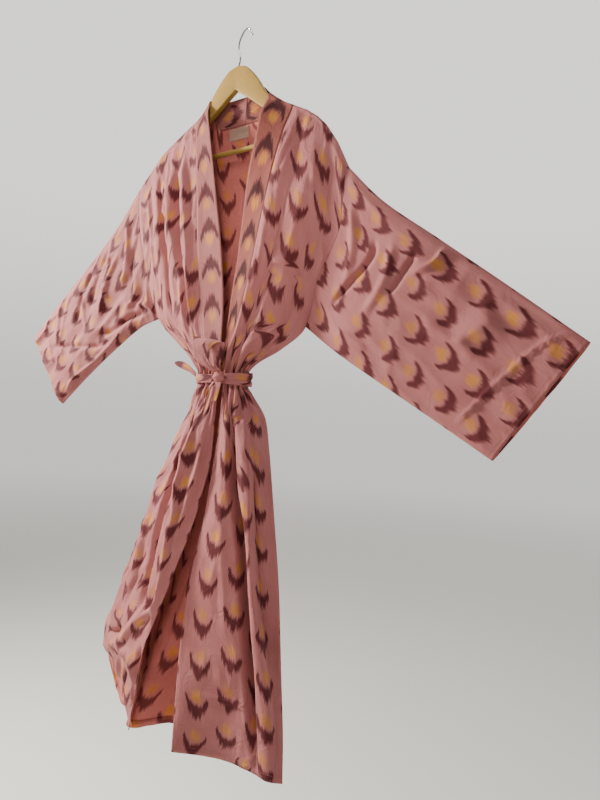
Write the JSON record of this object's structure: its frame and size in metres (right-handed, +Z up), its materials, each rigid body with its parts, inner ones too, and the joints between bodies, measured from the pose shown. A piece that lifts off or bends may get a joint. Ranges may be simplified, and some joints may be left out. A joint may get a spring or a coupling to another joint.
{
  "type": "kimono robe on a hanger",
  "caption": "Long open-front kimono robe in thin ikat cotton with wide sleeves and a tied sash, hanging on a flat wooden hanger by its wire hook.",
  "frame": {"origin": "the inside top of the hook's crook, where a rod or peg carries the hanger", "axes": "+Z up, the robe's front faces -Y, +X is to the right as seen from the front"},
  "size_m": [1.3288, 0.1243, 1.4145],
  "materials": {
    "cotton": "thin plain-weave cotton, dusty pink with maroon and orange ikat",
    "label_tape": "beige woven tape",
    "wood": "satin lacquer on pale wood",
    "bar_wood": "satin lacquer on a pale dowel",
    "chromed_wire": "bright chrome plate"
  },
  "bodies": {
    "root": {"back_panel": "cotton", "front_left": "cotton", "front_right": "cotton", "sleeve_left": "cotton", "sleeve_right": "cotton", "band_left": "cotton", "band_right": "cotton", "sash_wrap": "cotton", "sash_knot": "cotton", "sash_loop": "cotton", "sash_end_left": "cotton", "sash_tail_straight": "cotton", "sash_tail_twisted": "cotton", "neck_label": "label_tape", "hanger_body": "wood", "trouser_bar": "bar_wood", "hanger_hook": "chromed_wire"}
  },
  "joints": []
}
